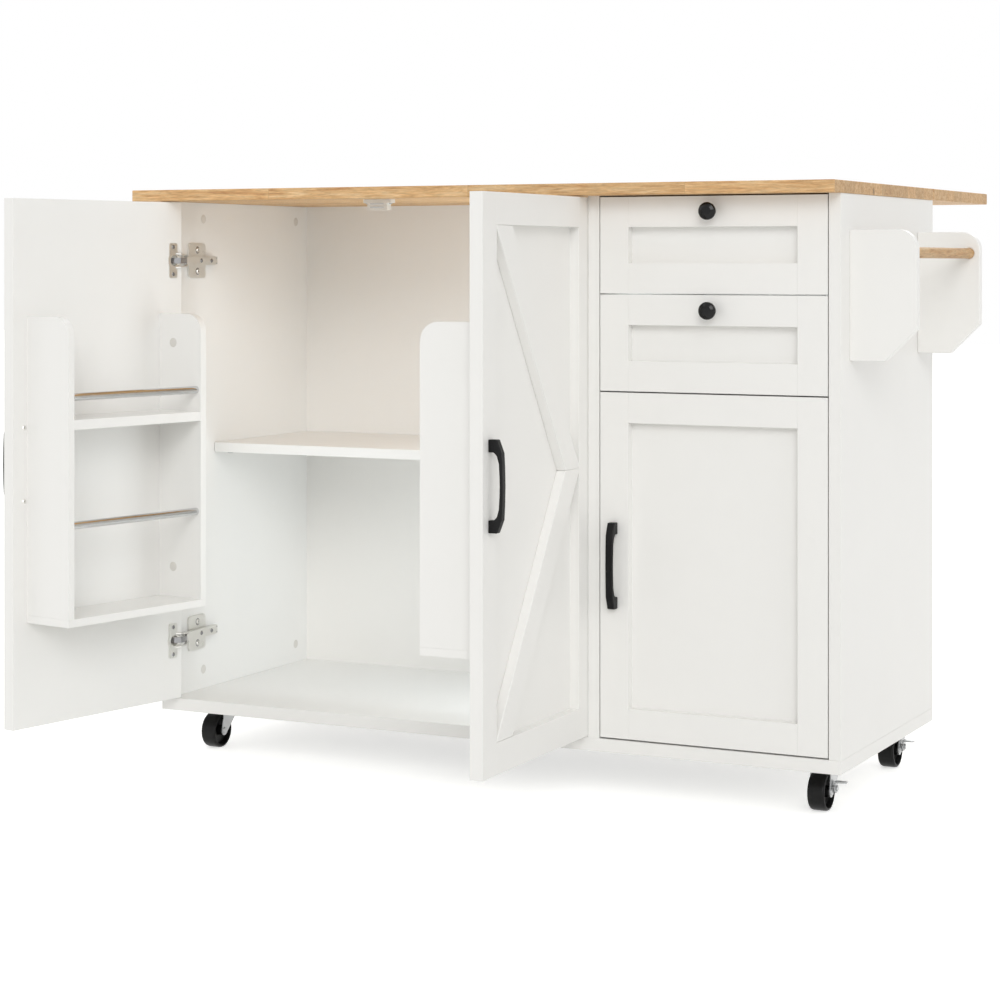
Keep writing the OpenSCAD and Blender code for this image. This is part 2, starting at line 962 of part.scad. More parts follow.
// Top plate with the swivel race and the kingpin
module caster_plate(p) {
  translate([p[0], p[1], 0]) {
    difference() {
      translate([-24, -19, caster_h - mount_t])
        linear_extrude(mount_t)
          polygon(rounded(48, 38, 4));
      for (x = [-18, 18], y = [-13, 13])
        translate([x, y, caster_h - mount_t - 1]) cylinder(d = 5.5, h = mount_t + 2);
    }
    translate([0, 0, caster_h - mount_t - race_h])
      cylinder(d1 = race_d - 6, d2 = race_d, h = race_h);
    translate([0, 0, crown_z - crown_t - rest_gap])
      cylinder(d = king_d, h = race_h + crown_t + 2 * rest_gap);
    translate([0, 0, crown_z - crown_t - rest_gap - 2]) cylinder(d = king_d + 6, h = 2);
  }
}

module caster_plates() {
  color(steel)
    for (p = swivels)
      caster_plate(p);
}

// Fork with its crown round the kingpin and its legs down to the axle
module fork(p) {
  axle_z = wheel_d / 2;
  top = crown_z - axle_z;
  color(steel)
    translate([p[0], p[1], 0]) {
      difference() {
        union() {
          translate([0, 0, crown_z - crown_t])
            linear_extrude(crown_t)
              polygon(concat(arc([0, 0], fork_in + fork_t + 3, 0, 180, 16),
                [[-fork_in - fork_t, -leg_front], [fork_in + fork_t, -leg_front]]));
          for (s = [-1, 1])
            translate([s > 0 ? fork_in : -fork_in - fork_t, -trail, axle_z])
              sideways(fork_t)
                polygon(concat(arc([0, 0], axle_d / 2 + 4, 170, 320, 10),
                  [[trail + leg_rear, top - 10], [trail + leg_rear, top], [trail - leg_front, top]]));
        }
        translate([0, 0, crown_z - crown_t - 1])
          cylinder(d = king_d + 2 * run_fit, h = crown_t + 2);
      }
      // riveted axle
      translate([0, -trail, axle_z])
        rotate([0, 90, 0]) {
          cylinder(d = axle_d, h = 2 * (fork_in + fork_t) + 1, center = true);
          for (s = [-1, 1])
            translate([0, 0, s * (fork_in + fork_t + 0.75)])
              cylinder(d = axle_d + 2, h = 1.5, center = true);
        }
    }
}

// Wheel with a crowned tread, dished faces and a hub on the axle
module wheel(p) {
  r = wheel_d / 2;
  h = wheel_w / 2;
  bore = axle_d / 2 + run_fit;
  color(black)
    translate([p[0], p[1] - trail, r])
      rotate([0, 90, 0])
        rotate_extrude()
          polygon([[bore, -h - 0.5], [bore + 3.5, -h - 0.5], [bore + 5, -h + 8], [r - 6.5, -h + 8],
            [r - 4.2, -h + 0.5], [r - 2.2, -h], [r - 0.7, -h + 1.6], [r, -h + 4.5], [r, h - 4.5],
            [r - 0.7, h - 1.6], [r - 2.2, h], [r - 4.2, h - 0.5], [r - 6.5, h - 8], [bore + 5, h - 8],
            [bore + 3.5, h + 0.5], [bore, h + 0.5]]);
}

// Height of a brake lever's pin above the axle and its distance behind it
brake_up = 4;
brake_back = 9;
brake_d = 14;
brake_pin = 5;
brake_t = 2.5;
brake_off = 2.2;

// Shouldered pin with a nut, on the outer side of a fork, that carries its brake lever
module brake_pin(p) {
  nut = brake_off + brake_t + rest_gap;
  color(steel)
    translate([p[0] + fork_in + fork_t, p[1] - trail + brake_back, wheel_d / 2 + brake_up])
      rotate([0, 90, 0]) {
        cylinder(d = 8, h = brake_off - rest_gap);
        cylinder(d = brake_pin, h = nut + 2);
        translate([0, 0, nut]) cylinder(d = 9, h = 1.6, $fn = 6);
      }
}

// Brake lever beside a fork: a disc on its pin with a flat pedal turned outwards
module brake(p) {
  color(steel)
    translate([p[0] + fork_in + fork_t + brake_off, p[1] - trail + brake_back,
      wheel_d / 2 + brake_up])
      difference() {
        union() {
          rotate([0, 90, 0]) cylinder(d = brake_d, h = brake_t);
          translate([0, -5, 3]) cube([brake_t, 11, brake_d / 2]);
          translate([0, -5, brake_d / 2 + 1])
            linear_extrude(2.5)
              polygon([[0, 0], [14, 0], [18, 2], [18, 9], [14, 11], [0, 11]]);
        }
        translate([-1, 0, 0])
          rotate([0, 90, 0]) cylinder(d = brake_pin + 2 * run_fit, h = brake_t + 2);
      }
}

module fork_fl() {
  fork(swivels[0]);
}

module wheel_fl() {
  wheel(swivels[0]);
}

module fork_fr() {
  fork(swivels[1]);
  brake_pin(swivels[1]);
}

module wheel_fr() {
  wheel(swivels[1]);
}

module fork_rl() {
  fork(swivels[2]);
}

module wheel_rl() {
  wheel(swivels[2]);
}

module fork_rr() {
  fork(swivels[3]);
  brake_pin(swivels[3]);
}

module wheel_rr() {
  wheel(swivels[3]);
}

module brake_front() {
  brake(swivels[1]);
}

module brake_rear() {
  brake(swivels[3]);
}

base_board();
left_side_panel();
right_side_panel();
centre_divider();
left_back_board();
right_back_board();
main_shelf();
cupboard_shelf();
drawer_deck();
shelf_pins();
worktop();
drop_leaf();
bracket_legs();
bracket_arms();
bracket_struts();
magnetic_catch();
hinge_arms();
runner_channels();
left_door();
left_door_frame();
left_handle();
left_hinge_cups();
left_rack_sides();
left_rack_shelves();
left_rack_rails();
right_door();
right_door_frame();
right_handle();
right_hinge_cups();
right_rack_sides();
right_rack_shelves();
right_rack_rails();
lower_door();
lower_door_frame();
lower_handle();
lower_hinge_cups();
upper_drawer_front();
upper_drawer_box();
upper_knob();
upper_slides();
lower_drawer_front();
lower_drawer_box();
lower_knob();
lower_slides();
towel_front_plate();
towel_rear_plate();
towel_rail();
caster_plates();
fork_fl();
wheel_fl();
fork_fr();
wheel_fr();
fork_rl();
wheel_rl();
fork_rr();
wheel_rr();
brake_front();
brake_rear();
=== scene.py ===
import json
import math

import bmesh
import bpy
from mathutils import Matrix, Vector

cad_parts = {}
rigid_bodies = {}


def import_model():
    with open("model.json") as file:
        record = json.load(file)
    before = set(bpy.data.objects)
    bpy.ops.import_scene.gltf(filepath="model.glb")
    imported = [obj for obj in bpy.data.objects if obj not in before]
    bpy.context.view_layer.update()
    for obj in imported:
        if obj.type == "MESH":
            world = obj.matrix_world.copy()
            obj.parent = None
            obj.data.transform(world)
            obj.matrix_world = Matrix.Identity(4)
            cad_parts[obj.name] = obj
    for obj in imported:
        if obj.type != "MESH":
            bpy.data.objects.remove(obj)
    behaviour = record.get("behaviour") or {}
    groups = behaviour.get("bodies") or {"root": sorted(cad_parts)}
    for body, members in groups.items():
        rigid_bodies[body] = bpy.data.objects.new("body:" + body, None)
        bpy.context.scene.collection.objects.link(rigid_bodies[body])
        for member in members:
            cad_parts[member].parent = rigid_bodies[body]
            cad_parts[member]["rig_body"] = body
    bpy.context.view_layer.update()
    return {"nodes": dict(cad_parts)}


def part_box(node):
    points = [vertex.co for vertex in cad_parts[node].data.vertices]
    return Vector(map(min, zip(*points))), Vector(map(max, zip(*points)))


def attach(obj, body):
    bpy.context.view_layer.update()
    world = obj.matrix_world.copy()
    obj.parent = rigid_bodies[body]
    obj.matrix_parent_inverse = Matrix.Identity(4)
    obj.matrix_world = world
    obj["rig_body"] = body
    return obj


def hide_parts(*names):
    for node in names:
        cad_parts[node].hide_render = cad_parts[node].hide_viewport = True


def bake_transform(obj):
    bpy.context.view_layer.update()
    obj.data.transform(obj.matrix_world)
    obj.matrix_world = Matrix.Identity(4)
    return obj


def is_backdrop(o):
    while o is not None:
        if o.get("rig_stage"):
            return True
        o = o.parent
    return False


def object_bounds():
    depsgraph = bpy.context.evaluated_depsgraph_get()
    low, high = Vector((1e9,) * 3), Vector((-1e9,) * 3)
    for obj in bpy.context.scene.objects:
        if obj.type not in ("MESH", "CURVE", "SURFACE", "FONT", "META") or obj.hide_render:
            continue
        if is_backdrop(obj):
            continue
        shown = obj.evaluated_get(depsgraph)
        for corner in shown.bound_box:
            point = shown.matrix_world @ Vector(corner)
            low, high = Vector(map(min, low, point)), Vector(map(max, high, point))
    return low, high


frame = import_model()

# ---- Camera ----
# It stands off the right end, a hand's width below the worktop's top face, and looks level across
# the open doors. The picture is 1000 x 1003 with its centre moved right and down.
image_width, image_height = 1000, 1003
focal_length = 2457.38   # in pixels
aim_x, aim_y = 431.57, 263.02   # the pixel straight ahead of the camera
camera = bpy.data.objects.new("camera", bpy.data.cameras.new("camera"))
bpy.context.scene.collection.objects.link(camera)
bpy.context.scene.camera = camera
camera.location = (1.64389, -3.60479, 0.79707)
camera.rotation_euler = (math.radians(90), 0, math.radians(27.10))
camera.data.sensor_width = 36
camera.data.lens = camera.data.sensor_width * focal_length / image_height
camera.data.shift_x = (image_width / 2 - aim_x) / image_height
camera.data.shift_y = (aim_y - image_height / 2) / image_height


# ---- Studio ----
# A pale floor under a white sky, a soft key lamp beside the camera, weak lamps at both sides and
# behind, and small ones in the compartments. The floor looks white where it isn't in shadow.
def add(tree, kind, inputs=None, **settings):
    """Adds a node with its settings; each input is a value or another node's output."""
    made = tree.nodes.new(kind)
    for name, value in settings.items():
        setattr(made, name, value)
    for socket, value in (inputs or {}).items():
        if isinstance(value, bpy.types.NodeSocket):
            tree.links.new(value, made.inputs[socket])
        else:
            made.inputs[socket].default_value = value
    return made


def linear(colour):
    """Linear RGBA of an sRGB hex colour."""
    parts = [int(colour[i:i + 2], 16) / 255 for i in (1, 3, 5)]
    return [c / 12.92 if c <= 0.04045 else ((c + 0.055) / 1.055) ** 2.4 for c in parts] + [1]


def seen_directly(tree):
    """1 for camera, glossy and transmission rays, 0 for the light that falls on the object."""
    path = add(tree, "ShaderNodeLightPath")
    two = add(tree, "ShaderNodeMath", {0: path.outputs["Is Camera Ray"],
                                       1: path.outputs["Is Glossy Ray"]}, operation="MAXIMUM")
    three = add(tree, "ShaderNodeMath", {0: two.outputs[0],
                                         1: path.outputs["Is Transmission Ray"]},
                operation="MAXIMUM")
    return three.outputs[0]


bpy.context.scene.view_settings.view_transform = "Standard"

sky_light = 0.60
world = bpy.data.worlds.new("white_sky")
bpy.context.scene.world = world
world.use_nodes = True
sky = world.node_tree
sky.nodes.clear()
strength = add(sky, "ShaderNodeMapRange", {"Value": seen_directly(sky), "To Min": sky_light,
                                           "To Max": 1.0})
sky_colour = add(sky, "ShaderNodeBackground", {"Color": (1, 1, 1, 1),
                                               "Strength": strength.outputs["Result"]})
add(sky, "ShaderNodeOutputWorld", {"Surface": sky_colour.outputs[0]})

floor_size = 40
floor_mesh = bpy.data.meshes.new("floor")
half = floor_size / 2
floor_mesh.from_pydata([(-half, -half, 0), (half, -half, 0), (half, half, 0), (-half, half, 0)],
                       [], [(0, 1, 2, 3)])
floor = bpy.data.objects.new("floor", floor_mesh)
bpy.context.scene.collection.objects.link(floor)
floor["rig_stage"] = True

paper = bpy.data.materials.new("white_paper_floor")
paper.use_nodes = True
tree = paper.node_tree
tree.nodes.clear()
matt = add(tree, "ShaderNodeBsdfDiffuse", {"Color": linear("#efefed")})
glow = add(tree, "ShaderNodeEmission", {"Color": (1, 1, 1, 1), "Strength": 0.55})
lit = add(tree, "ShaderNodeAddShader", {0: matt.outputs[0], 1: glow.outputs[0]})
either = add(tree, "ShaderNodeMixShader", {0: seen_directly(tree), 1: matt.outputs[0],
                                           2: lit.outputs[0]})
add(tree, "ShaderNodeOutputMaterial", {"Surface": either.outputs[0]})
floor_mesh.materials.append(paper)

# suns: where each stands, its power in W/m2 and the angle it fills in degrees
for name, towards, power, spread in (("key", (0.42, -0.80, 0.45), 0.95, 30),
                                     ("right", (0.90, -0.15, 0.42), 0.28, 50),
                                     ("left", (-0.75, -0.45, 0.45), 0.3, 50),
                                     ("rear", (-0.30, 0.80, 0.50), 0.8, 50)):
    lamp = bpy.data.objects.new(name, bpy.data.lights.new(name, "SUN"))
    bpy.context.scene.collection.objects.link(lamp)
    lamp.data.energy = power
    lamp.data.angle = math.radians(spread)
    lamp.rotation_euler = Vector(towards).to_track_quat("Z", "Y").to_euler()

# fill lamps in W: they stay inside the compartments, so that shut doors and drawers hide them
for name, place, towards, size, power in (
        ("compartment_fill", (-0.186, -0.17, 0.50), (0, 1, 0), (0.70, 0.76), 0.34),
        ("door_fill", (0.10, -0.05, 0.48), (-1, -0.3, -0.1), (0.34, 0.74), 1.65),
        ("drawer_fill", (0.378, -0.19, 0.745), (0, 1, 0), (0.12, 0.02), 0.35)):
    lamp = bpy.data.objects.new(name, bpy.data.lights.new(name, "AREA"))
    bpy.context.scene.collection.objects.link(lamp)
    lamp.data.shape = "RECTANGLE"
    lamp.data.size, lamp.data.size_y = size
    lamp.data.energy = power
    lamp.data.color = (0.88, 0.95, 1.0)
    lamp.location = place
    lamp.rotation_euler = Vector(towards).to_track_quat("-Z", "Y").to_euler()
    lamp.visible_camera = False
    lamp.visible_glossy = False


# ---- Carcass boards ----
# Base board, two side panels, centre divider and two back boards of particle board, faced and
# edged in white. They are joined by cams and dowels; their edges are broken by half a millimetre.
def satin_white(name, colour, roughness):
    """Sprayed satin lacquer on board: an even white with a faint orange peel in its gloss."""
    made = bpy.data.materials.new(name)
    made.use_nodes = True
    tree = made.node_tree
    shader = tree.nodes["Principled BSDF"]
    place = add(tree, "ShaderNodeTexCoord")
    # slow change of tone over a hand's width, 110 mm, hardly seen
    tone = add(tree, "ShaderNodeTexNoise", {"Vector": place.outputs["Object"], "Scale": 9.0,
                                            "Detail": 3.0, "Roughness": 0.55})
    low = [c * 0.975 for c in linear(colour)[:3]] + [1]
    tint = add(tree, "ShaderNodeMix", {0: tone.outputs["Fac"], 6: low, 7: linear(colour)},
               data_type="RGBA")
    tree.links.new(tint.outputs[2], shader.inputs["Base Color"])
    # orange peel with dimples about 2.5 mm apart
    peel = add(tree, "ShaderNodeTexNoise", {"Vector": place.outputs["Object"], "Scale": 400.0,
                                            "Detail": 2.0, "Roughness": 0.5})
    gloss = add(tree, "ShaderNodeMapRange", {"Value": peel.outputs["Fac"], "From Min": 0.3,
                                             "From Max": 0.7, "To Min": roughness - 0.05,
                                             "To Max": roughness + 0.05})
    tree.links.new(gloss.outputs["Result"], shader.inputs["Roughness"])
    bump = add(tree, "ShaderNodeBump", {"Height": peel.outputs["Fac"], "Strength": 0.12,
                                        "Distance": 0.0003})
    tree.links.new(bump.outputs["Normal"], shader.inputs["Normal"])
    shader.inputs["IOR"].default_value = 1.47
    return made


def show(name, shapes, material, body, replaced=(), matrix=None):
    """Joins closed bmeshes into one piece in its place, shades it and lets it ride on its body."""
    mesh = bpy.data.meshes.new(name)
    whole = bmesh.new()
    for shape in shapes:
        part = bpy.data.meshes.new("part")
        shape.to_mesh(part)
        shape.free()
        whole.from_mesh(part)
        bpy.data.meshes.remove(part)
    if matrix is not None:
        whole.transform(matrix)
        if matrix.determinant() < 0:
            bmesh.ops.reverse_faces(whole, faces=whole.faces)
    for face in whole.faces:
        face.smooth = True
    whole.to_mesh(mesh)
    whole.free()
    mesh.set_sharp_from_angle(angle=math.radians(35))
    mesh.materials.append(material)
    piece = bpy.data.objects.new(name, mesh)
    bpy.context.scene.collection.objects.link(piece)
    even = piece.modifiers.new("even_normals", "WEIGHTED_NORMAL")
    even.keep_sharp = True
    if body:
        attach(piece, body)
    if replaced:
        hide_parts(*replaced)
    return piece


def soften(shape, edge, segments=2, where=None):
    """Rounds a closed bmesh's hard edges, or those of them whose middle passes a test."""
    hard = [e for e in shape.edges if e.calc_face_angle(0) > math.radians(25)
            and (where is None or where((e.verts[0].co + e.verts[1].co) / 2))]
    if edge and hard:
        bmesh.ops.bevel(shape, geom=hard, offset=edge, segments=segments, profile=0.5,
                        affect="EDGES", clamp_overlap=True)
    return shape


def from_cad(node, edge, segments=2, where=None):
    """A CAD node's own shape, merged and with its hard edges rounded."""
    shape = bmesh.new()
    shape.from_mesh(frame["nodes"][node].data)
    bmesh.ops.remove_doubles(shape, verts=shape.verts, dist=1e-6)
    bmesh.ops.dissolve_limit(shape, angle_limit=math.radians(0.5), verts=shape.verts,
                             edges=shape.edges)
    return soften(shape, edge, segments, where)


def finish_node(node, edge, material, segments=2, where=None):
    """Shows a CAD node's shape with rounded edges in its place."""
    return show(node + "_piece", [from_cad(node, edge, segments, where)], material,
                frame["nodes"][node]["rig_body"], [node])


def coat(node, material):
    """Gives a CAD node that stays its material."""
    piece = frame["nodes"][node]
    for place in piece.material_slots:
        place.material = material


board_edge = 0.0006
# melamine facing: flat, bright and a little dull; the backing board is greyer and duller
white_board = satin_white("white_faced_particle_board", "#f0efec", 0.42)
inner_board = satin_white("white_backing_board", "#eeece8", 0.48)
for node in ("base_board", "left_side_panel", "right_side_panel", "centre_divider"):
    finish_node(node, board_edge, white_board)
for node in ("left_back_board", "right_back_board"):
    coat(node, inner_board)

# ---- Shelves and shelf pins ----
# The shelf of the double compartment and of the cupboard lie loose on steel pins; the board
# under the drawers is fixed. All are white faced board, edged at the front.
for node in ("main_shelf", "cupboard_shelf", "drawer_deck"):
    finish_node(node, board_edge, white_board)


def plated_metal(name, colour, roughness, scratch, cloudy=0.84):
    """Plated steel: cloudy gloss from the bath, and fine rub marks that follow its length."""
    made = bpy.data.materials.new(name)
    made.use_nodes = True
    tree = made.node_tree
    shader = tree.nodes["Principled BSDF"]
    shader.inputs["Metallic"].default_value = 1.0
    place = add(tree, "ShaderNodeTexCoord")
    # clouds of the plating, 8 mm across
    cloud = add(tree, "ShaderNodeTexNoise", {"Vector": place.outputs["Object"], "Scale": 120.0,
                                             "Detail": 4.0, "Roughness": 0.6})
    dark = [c * cloudy for c in linear(colour)[:3]] + [1]
    tint = add(tree, "ShaderNodeMix", {0: cloud.outputs["Fac"], 6: dark, 7: linear(colour)},
               data_type="RGBA")
    tree.links.new(tint.outputs[2], shader.inputs["Base Color"])
    gloss = add(tree, "ShaderNodeMapRange", {"Value": cloud.outputs["Fac"], "From Min": 0.3,
                                             "From Max": 0.7, "To Min": roughness * 0.75,
                                             "To Max": roughness * 1.25})
    tree.links.new(gloss.outputs["Result"], shader.inputs["Roughness"])
    # rub marks 11 mm long and 0.7 mm apart, drawn ten times as coarse as they are to show
    long = add(tree, "ShaderNodeMapping", {"Vector": place.outputs["Object"],
                                           "Scale": (1500.0, 1500.0, 90.0)})
    marks = add(tree, "ShaderNodeTexNoise", {"Vector": long.outputs["Vector"], "Scale": 1.0,
                                             "Detail": 2.0})
    bump = add(tree, "ShaderNodeBump", {"Height": marks.outputs["Fac"], "Strength": scratch,
                                        "Distance": 0.0001})
    tree.links.new(bump.outputs["Normal"], shader.inputs["Normal"])
    return made


# zinc is bluish and half dull, nickel warm and paler; blackened steel keeps a grey sheen
zinc = plated_metal("zinc_plated_steel", "#c4c5c6", 0.34, 0.25)
nickel = plated_metal("nickel_plated_steel", "#ebeae6", 0.36, 0.15, 0.93)
dark_steel = plated_metal("blackened_steel", "#a6a6a8", 0.34, 0.1)
coat("shelf_pins", zinc)


# ---- Screws and cam covers ----
# Cross-recess screws hold the fittings, and white plastic covers, coloured grey as painted shade,
# close the cam fasteners. One geometry-node tree sets a turned head on every point and cuts the
# cross into it.
def fastener_tree():
    """Geometry nodes that set a head on every point along its axis; a recess of 0 cuts nothing."""
    tree = bpy.data.node_groups.new("fasteners", "GeometryNodeTree")
    face = tree.interface
    face.new_socket("Points", in_out="INPUT", socket_type="NodeSocketGeometry")
    for name in ("Head radius", "Head height", "Recess depth"):
        face.new_socket(name, in_out="INPUT", socket_type="NodeSocketFloat")
    face.new_socket("Finish", in_out="INPUT", socket_type="NodeSocketMaterial")
    face.new_socket("Fasteners", in_out="OUTPUT", socket_type="NodeSocketGeometry")
    given = add(tree, "NodeGroupInput").outputs
    radius, height = given["Head radius"], given["Head height"]
    crown = add(tree, "ShaderNodeMath", {0: radius, 1: 0.72}, operation="MULTIPLY")
    head = add(tree, "GeometryNodeMeshCone", {"Vertices": 24, "Radius Bottom": radius,
                                              "Radius Top": crown.outputs[0],
                                              "Depth": height})
    long = add(tree, "ShaderNodeMath", {0: radius, 1: 1.05}, operation="MULTIPLY")
    thin = add(tree, "ShaderNodeMath", {0: radius, 1: 0.24}, operation="MULTIPLY")
    deep = add(tree, "ShaderNodeMath", {0: given["Recess depth"], 1: 2.0},
               operation="MULTIPLY")
    bars = []
    for x, y in ((long, thin), (thin, long)):
        size = add(tree, "ShaderNodeCombineXYZ", {0: x.outputs[0], 1: y.outputs[0],
                                                  2: deep.outputs[0]})
        bars.append(add(tree, "GeometryNodeMeshCube", {"Size": size.outputs[0]}))
    # the cutters stand just off the face, so that a recess of 0 leaves no mark
    rise = add(tree, "ShaderNodeMath", {0: height, 1: 0.00002}, operation="ADD")
    top = add(tree, "ShaderNodeCombineXYZ", {2: rise.outputs[0]})
    cut = head
    for bar in bars:
        raised = add(tree, "GeometryNodeTransform", {"Geometry": bar.outputs["Mesh"],
                                                     "Translation": top.outputs[0]})
        cut = add(tree, "GeometryNodeMeshBoolean", {0: cut.outputs["Mesh"],
                                                    1: raised.outputs["Geometry"]},
                  operation="DIFFERENCE")
    axis = add(tree, "GeometryNodeInputNamedAttribute", {"Name": "axis"},
               data_type="FLOAT_VECTOR")
    turn = add(tree, "FunctionNodeAlignRotationToVector",
               {"Vector": axis.outputs["Attribute"]}, axis="Z")
    placed = add(tree, "GeometryNodeInstanceOnPoints", {"Points": given["Points"],
                                                        "Instance": cut.outputs["Mesh"],
                                                        "Rotation": turn.outputs[0]})
    real = add(tree, "GeometryNodeRealizeInstances", {"Geometry": placed.outputs[0]})
    finished = add(tree, "GeometryNodeSetMaterial", {"Geometry": real.outputs[0],
                                                     "Material": given["Finish"]})
    add(tree, "NodeGroupOutput", {"Fasteners": finished.outputs[0]})
    return tree


fastening = fastener_tree()


def fasten(name, points, radius, height, recess, material, body, slot, matrix=None):
    """Heads on points, each a position and the direction it faces, as one plain mesh."""
    matrix = matrix or Matrix.Identity(4)
    mesh = bpy.data.meshes.new(name)
    mesh.from_pydata([matrix @ Vector(p) for p, _ in points], [], [])
    axis = mesh.attributes.new("axis", "FLOAT_VECTOR", "POINT")
    for i, (_, facing) in enumerate(points):
        axis.data[i].vector = (matrix.to_3x3() @ Vector(facing)).normalized()
    seed = bpy.data.objects.new(name, mesh)
    bpy.context.scene.collection.objects.link(seed)
    nodes = seed.modifiers.new("fasteners", "NODES")
    nodes.node_group = fastening
    values = {"Head radius": radius, "Head height": height, "Recess depth": recess,
              "Finish": material}
    for item in fastening.interface.items_tree:
        if item.name in values:
            nodes[item.identifier] = values[item.name]
    bpy.context.view_layer.update()
    evaluated = seed.evaluated_get(bpy.context.evaluated_depsgraph_get())
    plain = bpy.data.meshes.new_from_object(evaluated)
    seed.modifiers.clear()
    seed.data = plain
    plain.set_sharp_from_angle(angle=math.radians(35))
    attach(seed, body)
    return seed


def plastic(name, colour, roughness, texture, specular=0.5):
    """Moulded plastic or enamel: an even colour with the fine grain of the mould."""
    made = bpy.data.materials.new(name)
    made.use_nodes = True
    tree = made.node_tree
    shader = tree.nodes["Principled BSDF"]
    place = add(tree, "ShaderNodeTexCoord")
    # mould grain of about 0.8 mm, drawn twice as coarse as it is so that it shows
    grain = add(tree, "ShaderNodeTexNoise", {"Vector": place.outputs["Object"],
                                             "Scale": 1200.0, "Detail": 2.0})
    tone = add(tree, "ShaderNodeTexNoise", {"Vector": place.outputs["Object"], "Scale": 60.0,
                                            "Detail": 3.0})
    dark = [c * 0.9 for c in linear(colour)[:3]] + [1]
    tint = add(tree, "ShaderNodeMix", {0: tone.outputs["Fac"], 6: dark, 7: linear(colour)},
               data_type="RGBA")
    tree.links.new(tint.outputs[2], shader.inputs["Base Color"])
    gloss = add(tree, "ShaderNodeMapRange", {"Value": grain.outputs["Fac"], "From Min": 0.3,
                                             "From Max": 0.7, "To Min": roughness - 0.06,
                                             "To Max": roughness + 0.06})
    tree.links.new(gloss.outputs["Result"], shader.inputs["Roughness"])
    bump = add(tree, "ShaderNodeBump", {"Height": grain.outputs["Fac"], "Strength": texture,
                                        "Distance": 0.0002})
    tree.links.new(bump.outputs["Normal"], shader.inputs["Normal"])
    shader.inputs["IOR"].default_value = 1.49
    shader.inputs["Specular IOR Level"].default_value = specular
    return made


left_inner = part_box("left_side_panel")[1].x
divider_left, divider_right = (p.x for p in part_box("centre_divider"))
right_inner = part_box("right_side_panel")[0].x
# polyethylene caps: matt; the white caps are coloured a shade greyer than the boards as painted
# shade
cap_grey_painted_shade = plastic("plastic_cap_grey_painted_shade", "#dedbd5", 0.5, 0.1)
cover = (0.0075, 0.0007, 0.0)   # radius, height and no recess
cover_places = [(y, z) for y in (-0.1405, 0.1635) for z in (0.870, 0.122)]
fasten("cam_covers",
       [((x, y, z), (facing, 0, 0)) for x, facing in ((left_inner, 1), (divider_left, -1),
                                                      (divider_right, 1), (right_inner, -1))
        for y, z in cover_places],
       *cover, cap_grey_painted_shade, "cabinet", "white_plastic")


